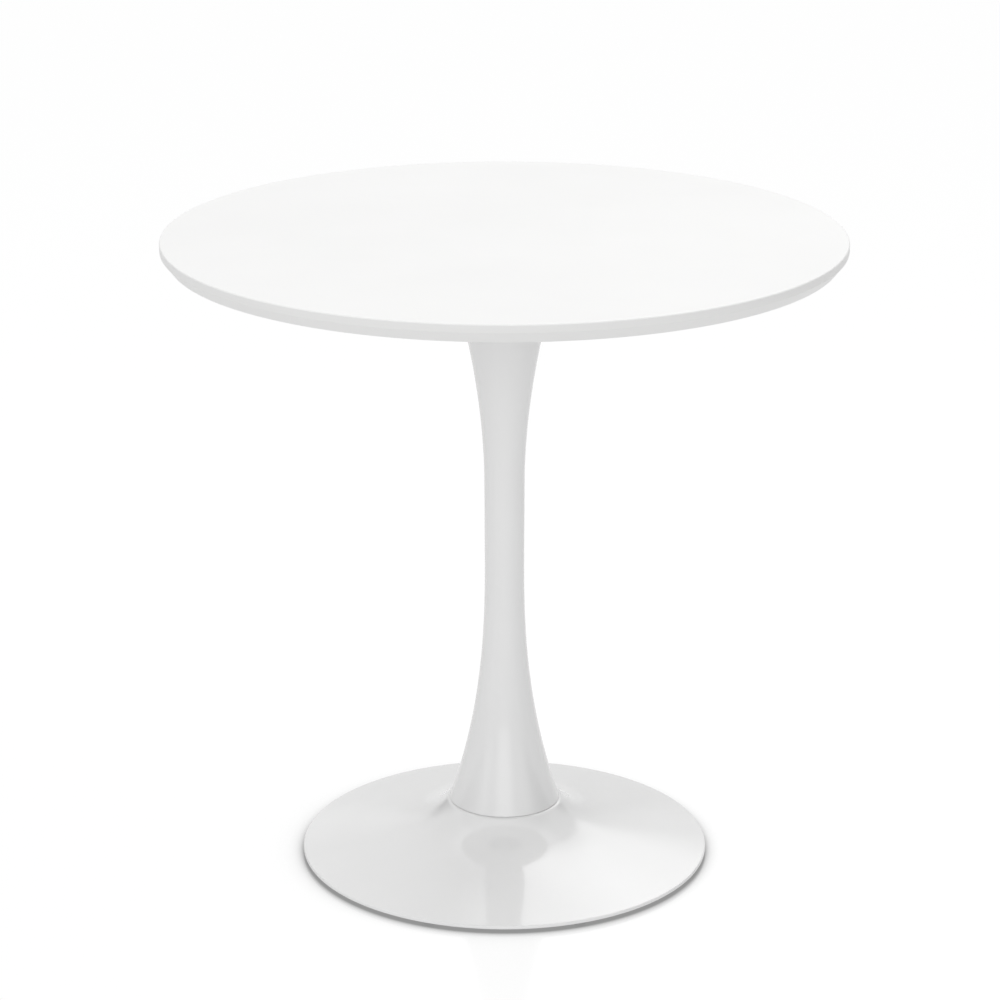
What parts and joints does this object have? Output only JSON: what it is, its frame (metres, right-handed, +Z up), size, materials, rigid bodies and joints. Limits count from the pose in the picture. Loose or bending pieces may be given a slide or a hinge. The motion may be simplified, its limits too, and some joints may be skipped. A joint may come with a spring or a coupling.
{
  "type": "round pedestal table",
  "caption": "Round white pedestal table: a bevelled lacquered disc top on a slim trumpet column that flares into a low domed metal base.",
  "frame": {"origin": "on the floor, under the centre of the column", "axes": "+Z up along the column's axis, -Y towards the viewer of the picture"},
  "size_m": [0.7869, 0.787, 0.762],
  "materials": {
    "top_lacquer": "satin white lacquer on fibreboard",
    "column_coat": "glossy white powder coat",
    "base_coat": "glossy white powder coat",
    "plate_coat": "fine matt black powder coat",
    "zinc_steel": "bright zinc plate",
    "black_oxide_steel": "oiled black oxide",
    "bare_steel": "turned steel with weld tint",
    "insert_brass": "turned brass",
    "weight_iron": "sand-cast, black primer",
    "black_rubber": "matt moulded rubber",
    "grey_rubber": "matt pale grey rubber sheet"
  },
  "bodies": {
    "root": {"tabletop": "top_lacquer", "tabletop_inserts": "insert_brass", "top_plate": "plate_coat", "top_plate_screws": "zinc_steel", "top_plate_washers": "zinc_steel", "head_bolts": "black_oxide_steel", "column_head_flange": "bare_steel", "column_shell": "column_coat", "column_foot_flange": "bare_steel", "foot_gasket": "grey_rubber", "base_shell": "base_coat", "base_weight": "weight_iron", "base_bolts": "black_oxide_steel", "base_spring_washers": "zinc_steel", "base_flat_washers": "zinc_steel", "rim_ring": "base_coat", "floor_pads": "black_rubber"}
  },
  "joints": []
}
